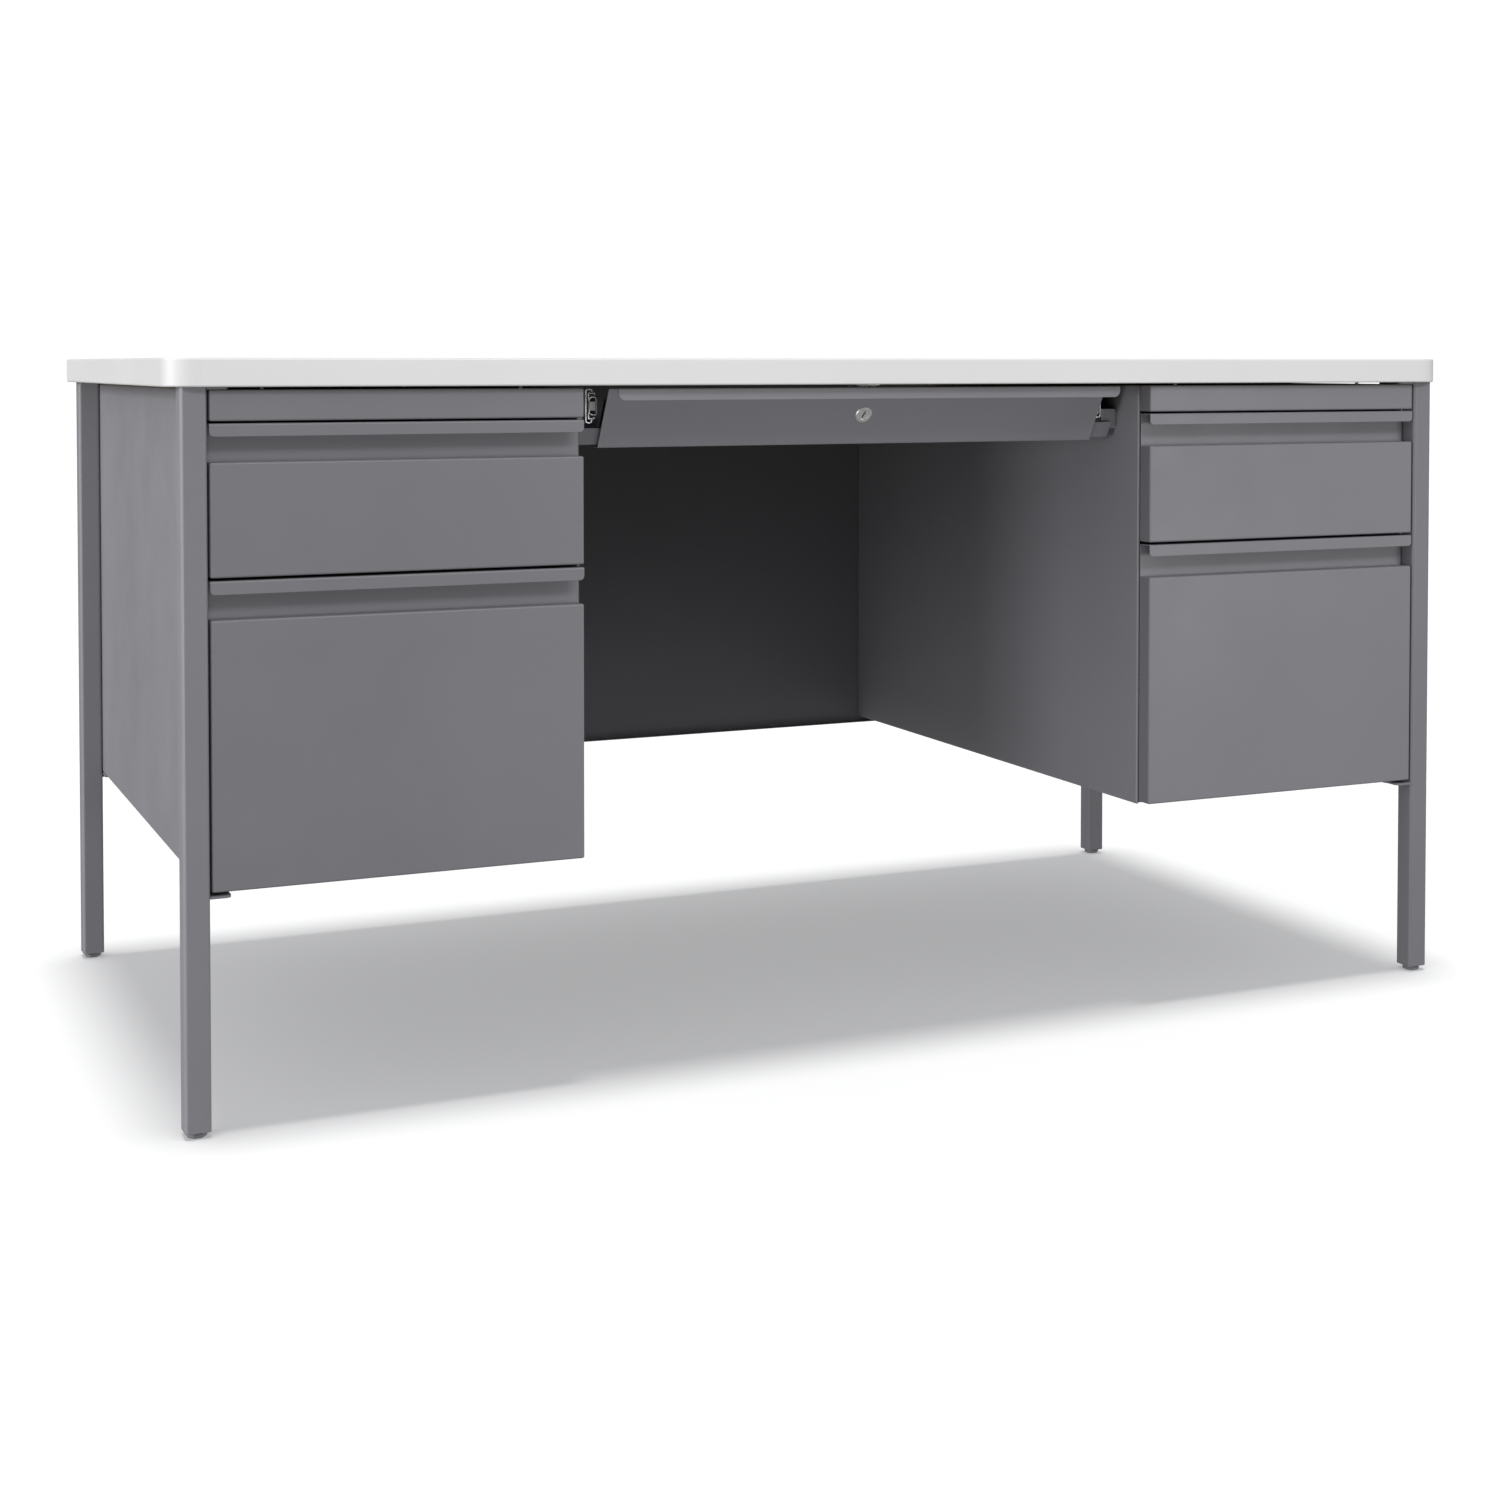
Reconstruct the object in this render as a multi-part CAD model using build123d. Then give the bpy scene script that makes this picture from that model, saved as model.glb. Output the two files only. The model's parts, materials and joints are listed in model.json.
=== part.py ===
"""Double-pedestal teacher desk in folded sheet steel with a laminate top.

Millimetres. Origin at the centre of the footprint on the floor. +Z is up, +X is to the right of
somebody seated at the desk, and -Y is the front, where that person sits.
The right half is modelled, and the left half is its mirror image.
"""

from build123d import *
import math
import os

# Overall size
DESK_WIDTH = 1524.0
DESK_DEPTH = 762.0
DESK_HEIGHT = 748.0

# Desktop: particle-board core, laminate sheet and a moulded edge band all round
TOP_THICKNESS = 28.0
TOP_CORNER_RADIUS = 34.0
BAND_THICKNESS = 3.0
BAND_EDGE_RADIUS = 2.0
LAMINATE_THICKNESS = 0.8
TOP_UNDERSIDE = DESK_HEIGHT - TOP_THICKNESS

# Sheet steel
PANEL_GAUGE = 1.2
FRONT_GAUGE = 1.0
TUB_GAUGE = 0.9
BEND_RADIUS = 1.0
HEM_DEPTH = 12.0
TOUCH = 0.1

# Legs: square tube, one in each corner, ending on a screw-in glide
LEG_SIZE = 25.4
LEG_WALL = 1.5
LEG_CORNER_RADIUS = 3.5
LEG_OUTER_X = 748.35
LEG_OUTER_Y = 372.1
LEG_INNER_X = LEG_OUTER_X - LEG_SIZE
LEG_BOTTOM = 6.0
LEG_MIDDLE_X = LEG_OUTER_X - LEG_SIZE / 2
LEG_MIDDLE_Y = LEG_OUTER_Y - LEG_SIZE / 2

# Glides and the threaded plugs they screw into
GLIDE_ACROSS_FLATS = 19.0
GLIDE_SIDES = 8
GLIDE_CHAMFER = 1.4
GLIDE_STEM_RADIUS = 4.0
GLIDE_STEM_TOP = 38.0
INSERT_HEIGHT = 22.0
INSERT_BORE_RADIUS = GLIDE_STEM_RADIUS + 0.05

# Pedestals
PEDESTAL_BOTTOM = 232.5
PEDESTAL_TOP = 717.5
PEDESTAL_FRONT = -350.0
INNER_PANEL_X = 341.0
PANEL_FLANGE = 12.0
HEM_THICKNESS = 2 * PANEL_GAUGE
INNER_WALL_X = INNER_PANEL_X + PANEL_GAUGE
OUTER_WALL_X = LEG_INNER_X - PANEL_GAUGE
BETWEEN_HEMS = (INNER_PANEL_X + HEM_THICKNESS + TOUCH, LEG_INNER_X - HEM_THICKNESS - TOUCH)

# Back panel, full width between the rear legs
BACK_PANEL_Y = 366.0
BACK_PANEL_BOTTOM = 225.0
BACK_PANEL_TOP = 718.8
BACK_PANEL_HALF = LEG_INNER_X - 0.35
BACK_FLANGE = 10.0

# Leg tabs: plates from each leg under the pedestal and under the desktop
TAB_REACH = 20.5
TAB_LENGTH = 42.0
TAB_THICKNESS = 2.4
TAB_INSET = 1.1
TAB_TOP = PEDESTAL_BOTTOM - 0.2
TAB_CORNER_RADIUS = 5.0

# Drawer fronts and the fixed filler rail above them
FACE_Y = -371.0
FACE_IN_X = 343.3
FACE_OUT_X = 720.9
FRONT_DEPTH = 20.0
PULL_BACK_Y = -352.0
FACE_EDGE_RADIUS = 1.8
LIP_END_RADIUS = 4.5
RAIL_HEIGHTS = (687.4, 717.4)
BOX_FACE = (537.4, 648.0)
BOX_LIP = (672.7, 685.2)
FILE_FACE = (235.6, 497.0)
FILE_LIP = (521.4, 534.5)

# Drawer tubs
TUB_BACK = 290.0
BOX_TUB = (546.0, 655.0)
FILE_TUB = (250.0, 508.0)
TUB_RIM = 4.0

# Ball-bearing slides, u measured from the cabinet wall towards the drawer
SLIDE_THICKNESS = 12.7
SLIDE_GAUGE = 1.2
SLIDE_EDGE_RADIUS = 0.9
SLIDE_HEIGHT = 45.7
SLIDE_LENGTH = 610.0
SLIDE_FRONT = -337.0
SLIDE_OUTER_REACH = 8.0
SLIDE_LIP = 2.2
SLIDE_MIDDLE_U = (3.0, 11.2)
SLIDE_INNER_U = (5.2, SLIDE_THICKNESS)
BALL_GAP = 3.0
BOX_SLIDE_Z = 598.0
FILE_SLIDE_Z = 360.0

# Centre drawer: raked front sheet with a pull lip, backing sheet with two wings, and a tray
CENTRE_SLIDE_HEIGHT = 36.5
CENTRE_SLIDE_Z = 697.75
CENTRE_SLIDE_LENGTH = 406.0
CENTRE_SLIDE_FRONT = -305.7
CENTRE_SLIDE_WALL_X = 318.3
CENTRE_HALF = 304.1
CENTRE_LIP_Y = -368.0
CENTRE_LIP_BOTTOM = 704.5
CENTRE_TOP = 717.0
CENTRE_BOTTOM = 653.5
CENTRE_BOTTOM_Y = -303.1
CENTRE_RAKE = math.radians(29.8)
CENTRE_LIP_END_RADIUS = 7.5
CENTRE_FLANGE = 18.0
BACKING_GAP = 2.9
BACKING_HALF = 303.0
BACKING_HEIGHTS = (656.0, 712.0)
WING_HALF = 330.0
WING_HEIGHTS = (657.0, 674.5)
TRAY_HALF = CENTRE_SLIDE_WALL_X - SLIDE_THICKNESS
TRAY_BACK = 105.0
TRAY_TOP = 708.0
TRAY_BACK_TOP = 698.0

# Brackets that hold the centre slides off the pedestals
BRACKET_FRONT = -302.5
BRACKET_LENGTH = 390.0
BRACKET_BOTTOM = 667.0
BRACKET_SHELF = 689.5
BRACKET_TOP = 716.0
BRACKET_GAUGE = 2.0
BRACKET_TAB_INNER_X = 321.0

# Cam lock, set square to the raked front
LOCK_HEIGHT = 687.0
LOCK_FLANGE_RADIUS = 9.8
LOCK_FLANGE = 2.2
LOCK_BODY_RADIUS = 8.0
LOCK_BODY_FLAT = 6.8
LOCK_BODY_DEPTH = 22.0
PLUG_RADIUS = 5.8
PLUG_CLEARANCE = 0.05
PLUG_PROUD = 1.7
PLUG_SHOULDER_RADIUS = 7.2
PLUG_TAIL = 7.0
KEYWAY_WIDTH = 1.7
KEYWAY_HEIGHT = 8.4
KEYWAY_DEPTH = 14.0
NUT_ACROSS_FLATS = 21.0
NUT_THICKNESS = 3.2
CAM_THICKNESS = 2.0
CAM_WIDTH = 12.0
CAM_REACH = 20.0
CAM_SCREW_HEAD_RADIUS = 5.4
CAM_SCREW_HEAD = 1.3
CAM_SCREW_LENGTH = 4.3
STRIKE_HALF = 14.0
STRIKE_Y = -312.6
STRIKE_BOTTOM = 707.5
STRIKE_FOOT = 22.0
STRIKE_GAUGE = 1.6

# Rails that carry the desktop, across the top of each pedestal
TOP_RAIL_TOP = 716.2
TOP_RAIL_WIDTH = 25.0
TOP_RAIL_GAUGE = 1.5
TOP_RAIL_FRONTS = (-349.8, 318.0)

# Screws
SCREW_SHANK_RADIUS = 2.1
SCREW_HEAD_RADIUS = 4.4
SCREW_HEAD = 2.6
SCREW_HOLE_RADIUS = 2.5
DESKTOP_SCREW_LENGTH = 22.0
DESKTOP_SCREW_X = (400.0, 664.0)
STRIKE_SCREW_LENGTH = 14.0
TAB_SCREW_LENGTH = 12.0
TAB_SCREW_Y = LEG_OUTER_Y - 34.0
BACK_SCREW_LENGTH = 9.0
BACK_SCREW_X = (INNER_PANEL_X + 7.0, LEG_INNER_X - 8.0)
BACK_SCREW_Z = (262.0, 474.0, 690.0)

RIGHT_HAND = "right"
LEFT_HAND = "left"


# Building blocks


def block(x, y, z):
    """Box between the low and high values of each axis."""
    spans = (x, y, z)
    sizes = [high - low for low, high in spans]
    middles = [(high + low) / 2 for low, high in spans]
    return Pos(*middles) * Box(*sizes)


def rounded_outline(points, radii):
    """Closed face through points, each corner rounded to its own radius, or sharp at 0."""
    corners = []
    for index, radius in enumerate(radii):
        corner = Vector(*points[index])
        arrive = (Vector(*points[index - 1]) - corner).normalized()
        leave = (Vector(*points[(index + 1) % len(points)]) - corner).normalized()
        half_angle = math.radians(arrive.get_angle(leave)) / 2
        if radius == 0:
            corners.append((corner, None, corner))
            continue
        reach = radius / math.tan(half_angle)
        depth = radius / math.sin(half_angle) - radius
        middle = corner + (arrive + leave).normalized() * depth
        corners.append((corner + arrive * reach, middle, corner + leave * reach))
    edges = []
    for index, (start, middle, end) in enumerate(corners):
        if middle is not None:
            edges.append(ThreePointArc(start, middle, end))
        edges.append(Line(end, corners[(index + 1) % len(corners)][0]))
    return make_face(Wire(edges))


def folded_section(path, gauge, bend=BEND_RADIUS):
    """Section of a folded sheet: one side follows path, the other lies gauge to its right."""
    directions = []
    for start, end in zip(path, path[1:]):
        directions.append((Vector(*end) - Vector(*start)).normalized())
    arriving = [directions[0]] + directions
    leaving = directions + [directions[-1]]
    far_side = []
    near_radii = []
    far_radii = []
    for point, before, after in zip(path, arriving, leaving):
        right_before = Vector(before.Y, -before.X)
        right_after = Vector(after.Y, -after.X)
        mitre = (right_before + right_after) / (1 + right_before.dot(right_after))
        far_side.append(tuple(Vector(*point) + mitre * gauge)[:2])
        turn = before.X * after.Y - before.Y * after.X
        near_radii.append(0 if turn == 0 else bend if turn > 0 else bend + gauge)
        far_radii.append(0 if turn == 0 else bend + gauge if turn > 0 else bend)
    return rounded_outline(list(path) + far_side[::-1], near_radii + far_radii[::-1])


def along_x(section, low, high):
    """Section drawn as (y, z), extruded from x = low to x = high."""
    return extrude(Plane.YZ.offset(low) * section, high - low, dir=(1, 0, 0))


def along_y(section, low, high):
    """Section drawn as (x, z), extruded from y = low to y = high."""
    return extrude(Plane.XZ.offset(-low) * section, high - low, dir=(0, 1, 0))


def pan(x, y, z, open_axis, open_end, gauge, corner=BEND_RADIUS):
    """Folded tray of sheet. The side at open_end (0 low, -1 high) of open_axis has no wall."""
    spans = [x, y, z]
    axis_index = (Axis.X, Axis.Y, Axis.Z).index(open_axis)
    hollow = [[low + gauge, high - gauge] for low, high in spans]
    hollow[axis_index][open_end] = spans[axis_index][open_end] + (gauge if open_end else -gauge)
    outside = block(*spans)
    mouth = outside.faces().sort_by(open_axis)[open_end]
    outside = fillet(outside.edges() - mouth.edges(), corner + gauge)
    inside = block(*hollow)
    inside_mouth = inside.faces().sort_by(open_axis)[open_end]
    inside = fillet(inside.edges() - inside_mouth.edges(), corner)
    return outside - inside


def drill(shape, positions, radius, depth, direction=(0, 0, 1)):
    """Cut a round hole at each position, running both ways along direction."""
    for position in positions:
        plane = Plane(origin=position, z_dir=direction)
        shape -= plane * Cylinder(radius, 2 * depth)
    return shape


def screw(position, direction, length):
    """Pan-head screw, its head bearing at position and its shank running along direction."""
    low_end = (Align.CENTER, Align.CENTER, Align.MIN)
    high_end = (Align.CENTER, Align.CENTER, Align.MAX)
    head = Cylinder(SCREW_HEAD_RADIUS, SCREW_HEAD, align=high_end)
    head = fillet(head.edges().sort_by(Axis.Z)[0], SCREW_HEAD / 2)
    shank = Cylinder(SCREW_SHANK_RADIUS, length, align=low_end)
    recess_depth = SCREW_HEAD / 2
    recess = Pos(0, 0, recess_depth - SCREW_HEAD) * Cylinder(SCREW_HEAD / 2, SCREW_HEAD, align=high_end)
    return Plane(origin=position, z_dir=direction) * (head + shank - recess)


def mirrored(shape):
    """The same shape on the left half of the desk."""
    return mirror(shape, about=Plane.YZ)


def both_sides(solids):
    """Each solid and its mirror image, as one group of separate solids."""
    return Compound(children=list(solids) + [mirrored(solid) for solid in solids])


# Desktop


def desktop_outline(inset):
    """Rounded rectangle of the desktop, drawn in by inset."""
    width = DESK_WIDTH - 2 * inset
    depth = DESK_DEPTH - 2 * inset
    return RectangleRounded(width, depth, TOP_CORNER_RADIUS - inset)


def desktop_screw_points():
    """Where the desktop screws bear, under the flange of each top rail, on the right half."""
    bearing = TOP_RAIL_TOP - TOP_RAIL_GAUGE
    points = []
    for front in TOP_RAIL_FRONTS:
        for x in DESKTOP_SCREW_X:
            points.append((x, front + TOP_RAIL_WIDTH / 2, bearing))
    return points


def strike_screw_points():
    """Where the two strike screws bear, under the strike's foot."""
    y = STRIKE_Y - STRIKE_FOOT + SCREW_HEAD_RADIUS
    z = TOP_UNDERSIDE - STRIKE_GAUGE
    return [(-STRIKE_HALF / 2, y, z), (STRIKE_HALF / 2, y, z)]


def make_desktop_core():
    low = Pos(0, 0, TOP_UNDERSIDE)
    core = low * extrude(desktop_outline(BAND_THICKNESS), TOP_THICKNESS - LAMINATE_THICKNESS)
    right = desktop_screw_points()
    left = [(-x, y, z) for x, y, z in right]
    core = drill(core, right + left, SCREW_SHANK_RADIUS, DESKTOP_SCREW_LENGTH)
    return drill(core, strike_screw_points(), SCREW_SHANK_RADIUS, STRIKE_SCREW_LENGTH)


def make_desktop_laminate():
    low = Pos(0, 0, DESK_HEIGHT - LAMINATE_THICKNESS)
    return low * extrude(desktop_outline(BAND_THICKNESS), LAMINATE_THICKNESS)


def make_desktop_edge_band():
    low = Pos(0, 0, TOP_UNDERSIDE)
    band = low * extrude(desktop_outline(0), TOP_THICKNESS)
    rims = band.faces().sort_by(Axis.Z)
    band = fillet(rims[0].edges() + rims[-1].edges(), BAND_EDGE_RADIUS)
    return band - low * extrude(desktop_outline(BAND_THICKNESS), TOP_THICKNESS)


def make_desktop_screws():
    upward = (0, 0, 1)
    right = [screw(point, upward, DESKTOP_SCREW_LENGTH) for point in desktop_screw_points()]
    strike = [screw(point, upward, STRIKE_SCREW_LENGTH) for point in strike_screw_points()]
    left = [mirrored(solid) for solid in right]
    return Compound(children=right + left + strike)


# Legs


def make_leg(side_x, side_y):
    """Square tube standing in the corner that side_x and side_y (1 or -1) name."""
    outside = RectangleRounded(LEG_SIZE, LEG_SIZE, LEG_CORNER_RADIUS)
    bore = LEG_SIZE - 2 * LEG_WALL
    inside = RectangleRounded(bore, bore, LEG_CORNER_RADIUS - LEG_WALL)
    tube = extrude(outside - inside, TOP_UNDERSIDE - LEG_BOTTOM)
    return Pos(side_x * LEG_MIDDLE_X, side_y * LEG_MIDDLE_Y, LEG_BOTTOM) * tube


def make_leg_inserts():
    """Threaded plugs pressed into the leg ends."""
    bore = LEG_SIZE - 2 * LEG_WALL
    section = RectangleRounded(bore, bore, LEG_CORNER_RADIUS - LEG_WALL)
    plug = extrude(section - Circle(INSERT_BORE_RADIUS), INSERT_HEIGHT)
    plugs = []
    for side_y in (-1, 1):
        plugs.append(Pos(LEG_MIDDLE_X, side_y * LEG_MIDDLE_Y, LEG_BOTTOM) * plug)
    return both_sides(plugs)


def make_glide(side_x, side_y):
    """Eight-sided foot on a threaded stem, screwed up against the end of the leg."""
    low_end = (Align.CENTER, Align.CENTER, Align.MIN)
    circumradius = GLIDE_ACROSS_FLATS / 2 / math.cos(math.pi / GLIDE_SIDES)
    section = RegularPolygon(circumradius, GLIDE_SIDES, rotation=180 / GLIDE_SIDES)
    foot = extrude(section, LEG_BOTTOM - TOUCH)
    rims = foot.faces().sort_by(Axis.Z)
    foot = chamfer(rims[0].edges() + rims[-1].edges(), GLIDE_CHAMFER)
    stem = Cylinder(GLIDE_STEM_RADIUS, GLIDE_STEM_TOP, align=low_end)
    return Pos(side_x * LEG_MIDDLE_X, side_y * LEG_MIDDLE_Y, 0) * (foot + stem)


def tab_plate(side_y, bottom):
    """One leg tab on the right half: a plate that reaches in from the leg."""
    x = (LEG_INNER_X - TAB_REACH, LEG_INNER_X)
    outer_y = -LEG_OUTER_Y + TAB_INSET if side_y < 0 else BACK_PANEL_Y - TOUCH
    inner_y = outer_y - side_y * TAB_LENGTH
    plate = block(x, sorted((outer_y, inner_y)), (bottom, bottom + TAB_THICKNESS))
    free_corners = plate.edges().filter_by(Axis.Z).sort_by(Axis.X)[:2]
    return fillet(free_corners, TAB_CORNER_RADIUS)


def tab_screw_points():
    """Where the screws bear under the lower tabs, on the right half."""
    x = LEG_INNER_X - TAB_REACH / 2
    z = TAB_TOP - TAB_THICKNESS
    return [(x, side_y * TAB_SCREW_Y, z) for side_y in (-1, 1)]


def make_leg_tabs():
    plates = []
    for side_y in (-1, 1):
        lower = tab_plate(side_y, TAB_TOP - TAB_THICKNESS)
        plates.append(drill(lower, tab_screw_points(), SCREW_HOLE_RADIUS, TAB_SCREW_LENGTH))
    plates.append(tab_plate(-1, TOP_UNDERSIDE - TAB_THICKNESS))
    return both_sides(plates)


def make_tab_screws():
    return both_sides([screw(point, (0, 0, 1), TAB_SCREW_LENGTH) for point in tab_screw_points()])


# Pedestal casing


def back_screw_points():
    """Where the back panel screws bear, on the right half."""
    y = BACK_PANEL_Y + PANEL_GAUGE
    return [(x, y, z) for x in BACK_SCREW_X for z in BACK_SCREW_Z]


def side_panel(wall_x, flange_x, wall_side):
    """Pedestal side: a wall with flanges at the top, bottom and rear, and a hemmed front edge.

    wall_side is 0 where the wall is on the low-X side and -1 where it is on the high-X side.
    """
    x = sorted((wall_x, flange_x))
    z = (PEDESTAL_BOTTOM, PEDESTAL_TOP)
    open_end = -1 if wall_side == 0 else 0
    panel = pan(x, (PEDESTAL_FRONT, BACK_PANEL_Y), z, Axis.X, open_end, PANEL_GAUGE)
    hem_x = wall_x + HEM_THICKNESS if wall_side == 0 else wall_x - HEM_THICKNESS
    notch_end = PEDESTAL_FRONT + HEM_DEPTH
    notch_z = (PEDESTAL_BOTTOM - TOUCH, PEDESTAL_TOP + TOUCH)
    beyond_x = flange_x + TOUCH if wall_side == 0 else flange_x - TOUCH
    panel -= block(sorted((hem_x, beyond_x)), (PEDESTAL_FRONT - TOUCH, notch_end), notch_z)
    hem_y = (PEDESTAL_FRONT + HEM_THICKNESS / 2, notch_end)
    hem_z = (PEDESTAL_BOTTOM + PANEL_GAUGE, PEDESTAL_TOP - PANEL_GAUGE)
    wall_middle_x = (wall_x + hem_x) / 2
    panel += block(sorted((wall_middle_x, hem_x)), hem_y, hem_z)
    panel = drill(panel, back_screw_points(), SCREW_HOLE_RADIUS, BACK_SCREW_LENGTH, (0, -1, 0))
    return drill(panel, tab_screw_points(), SCREW_HOLE_RADIUS, TAB_SCREW_LENGTH)


def make_end_panel():
    return side_panel(LEG_INNER_X, LEG_INNER_X - PANEL_FLANGE - PANEL_GAUGE, -1)


def make_inner_panel():
    return side_panel(INNER_PANEL_X, INNER_PANEL_X + PANEL_FLANGE, 0)


def make_bottom_pan():
    """Pedestal floor, with its flanges turned up inside the side panels."""
    y = (PEDESTAL_FRONT + TOUCH, BACK_PANEL_Y - 2 * PANEL_GAUGE)
    z = (PEDESTAL_BOTTOM + PANEL_GAUGE + TOUCH, PEDESTAL_BOTTOM + PANEL_FLANGE)
    floor = pan(BETWEEN_HEMS, y, z, Axis.Z, -1, PANEL_GAUGE)
    return drill(floor, tab_screw_points(), SCREW_HOLE_RADIUS, TAB_SCREW_LENGTH)


def make_filler_rail():
    """Fixed rail between the desktop and the top drawer."""
    y = (FACE_Y, PEDESTAL_FRONT)
    return pan((FACE_IN_X, FACE_OUT_X), y, RAIL_HEIGHTS, Axis.Y, -1, FRONT_GAUGE)


def make_top_rails():
    """Two angles across the pedestal, front and rear, that the desktop is screwed to."""
    rails = []
    for front in TOP_RAIL_FRONTS:
        bottom = TOP_RAIL_TOP - TOP_RAIL_WIDTH
        top = TOP_RAIL_TOP
        path = [(front, bottom), (front, top), (front + TOP_RAIL_WIDTH, top)]
        rail = along_x(folded_section(path, TOP_RAIL_GAUGE), *BETWEEN_HEMS)
        rails.append(drill(rail, desktop_screw_points(), SCREW_HOLE_RADIUS, TOP_RAIL_GAUGE * 2))
    return Compound(children=rails)


def make_back_panel():
    """Full-width panel behind the pedestals and the knee space, flanged forwards."""
    front = BACK_PANEL_Y - BACK_FLANGE
    rear = BACK_PANEL_Y + PANEL_GAUGE
    path = [(front, BACK_PANEL_TOP), (rear, BACK_PANEL_TOP), (rear, BACK_PANEL_BOTTOM)]
    path.append((front, BACK_PANEL_BOTTOM))
    panel = along_x(folded_section(path, PANEL_GAUGE), -BACK_PANEL_HALF, BACK_PANEL_HALF)
    right = back_screw_points()
    left = [(-x, y, z) for x, y, z in right]
    return drill(panel, right + left, SCREW_HOLE_RADIUS, BACK_SCREW_LENGTH, (0, -1, 0))


def make_back_panel_screws():
    forwards = (0, -1, 0)
    return both_sides([screw(point, forwards, BACK_SCREW_LENGTH) for point in back_screw_points()])


# Slides: three nested channels on each side of a drawer


def channel(wall_x, inward, web_u, tip_u, height, centre_z, front, length, lip=0.0):
    """One slide member. Its web is at web_u and its flanges run to tip_u, u counted inward."""
    half = height / 2
    step = SLIDE_GAUGE if tip_u > web_u else -SLIDE_GAUGE
    outline = block(sorted((web_u, web_u + step)), (0, length), (-half, half))
    for side in (-1, 1):
        flange_z = sorted((side * half, side * (half - SLIDE_GAUGE)))
        outline += block(sorted((web_u, tip_u)), (0, length), flange_z)
        if lip:
            lip_z = sorted((side * half, side * (half - SLIDE_GAUGE - lip)))
            outline += block(sorted((tip_u - step, tip_u)), (0, length), lip_z)
    long_edges = outline.edges().filter_by(Axis.Y)
    back_edges = [edge for edge in long_edges if abs(edge.center().X - web_u) < TOUCH]
    outline = fillet(back_edges, SLIDE_EDGE_RADIUS)
    placed = outline if inward > 0 else mirrored(outline)
    return Pos(wall_x, front, centre_z) * placed


def slide_outer(wall_x, inward, height, centre_z, front, length):
    """Member fixed to the cabinet."""
    return channel(wall_x, inward, 0, SLIDE_OUTER_REACH, height, centre_z, front, length, SLIDE_LIP)


def slide_middle(wall_x, inward, height, centre_z, front, length):
    """Member between the balls, which moves half as far as the drawer."""
    inner_height = height - 2 * (SLIDE_GAUGE + BALL_GAP)
    web_u, tip_u = SLIDE_MIDDLE_U
    return channel(wall_x, inward, web_u, tip_u, inner_height, centre_z, front, length)


def slide_inner(wall_x, inward, height, centre_z, front, length):
    """Member fixed to the drawer, its web against the drawer side."""
    inner_height = height - 4 * (SLIDE_GAUGE + BALL_GAP)
    tip_u, web_u = SLIDE_INNER_U
    return channel(wall_x, inward, web_u, tip_u, inner_height, centre_z, front, length)


def pedestal_slides(member, centre_z):
    """The same member on both sides of a pedestal drawer."""
    size = (SLIDE_HEIGHT, centre_z, SLIDE_FRONT, SLIDE_LENGTH)
    pair = [member(INNER_WALL_X, 1, *size), member(OUTER_WALL_X, -1, *size)]
    return Compound(children=pair)


def centre_slides(member):
    """The same member on both sides of the centre drawer."""
    size = (CENTRE_SLIDE_HEIGHT, CENTRE_SLIDE_Z, CENTRE_SLIDE_FRONT, CENTRE_SLIDE_LENGTH)
    return both_sides([member(CENTRE_SLIDE_WALL_X, -1, *size)])


def make_centre_slide_brackets():
    """Step-shaped brackets between the centre slides and the pedestals, closed at the front."""
    wall = INNER_PANEL_X - BRACKET_GAUGE
    slide_side = CENTRE_SLIDE_WALL_X
    path = [(wall, BRACKET_BOTTOM), (wall, BRACKET_SHELF - BRACKET_GAUGE)]
    path.append((slide_side, BRACKET_SHELF - BRACKET_GAUGE))
    path.append((slide_side, BRACKET_TOP))
    rear = BRACKET_FRONT + BRACKET_LENGTH
    bracket = along_y(folded_section(path, BRACKET_GAUGE), BRACKET_FRONT, rear)
    tab_y = (BRACKET_FRONT, BRACKET_FRONT + BRACKET_GAUGE)
    tab_x = (BRACKET_TAB_INNER_X, INNER_PANEL_X - BRACKET_GAUGE / 2)
    bracket += block(tab_x, tab_y, (BRACKET_BOTTOM, BRACKET_SHELF - BRACKET_GAUGE / 2))
    return both_sides([bracket])


# Pedestal drawers


def make_drawer_front(face, lip):
    """Face panel with returned edges, then a finger recess and a pull lip above it."""
    back = FACE_Y + FRONT_DEPTH
    front = pan((FACE_IN_X, FACE_OUT_X), (FACE_Y, back), face, Axis.Y, -1, FRONT_GAUGE)
    under_top = lip[1] - FRONT_GAUGE
    behind_lip = FACE_Y + FRONT_GAUGE
    path = [(PULL_BACK_Y, face[1] - FRONT_GAUGE), (PULL_BACK_Y, under_top)]
    path += [(behind_lip, under_top), (behind_lip, lip[0])]
    pull = along_x(folded_section(path, FRONT_GAUGE), FACE_IN_X, FACE_OUT_X)
    cross_edges = pull.edges().filter_by(Axis.Y)
    lip_corners = [edge for edge in cross_edges if abs(edge.center().Z - lip[0]) < TOUCH]
    return front + fillet(lip_corners, LIP_END_RADIUS)


def make_drawer_tub(heights):
    """Open-topped drawer body with a rim turned inwards."""
    x = (INNER_WALL_X + SLIDE_THICKNESS, OUTER_WALL_X - SLIDE_THICKNESS)
    y = (FACE_Y + FRONT_DEPTH, TUB_BACK)
    tub = pan(x, y, heights, Axis.Z, -1, TUB_GAUGE)
    rim_z = (heights[1] - TUB_GAUGE, heights[1])
    mouth = block([x[0] + TUB_RIM, x[1] - TUB_RIM], [y[0] + TUB_RIM, y[1] - TUB_RIM], rim_z)
    middle = TUB_GAUGE / 2
    rim = block([x[0] + middle, x[1] - middle], [y[0] + middle, y[1] - middle], rim_z)
    return tub + (rim - mouth)


# Centre drawer


def face_y(height):
    """Y of the raked face's visible side at a height."""
    return CENTRE_BOTTOM_Y - (height - CENTRE_BOTTOM) * math.tan(CENTRE_RAKE)


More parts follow.
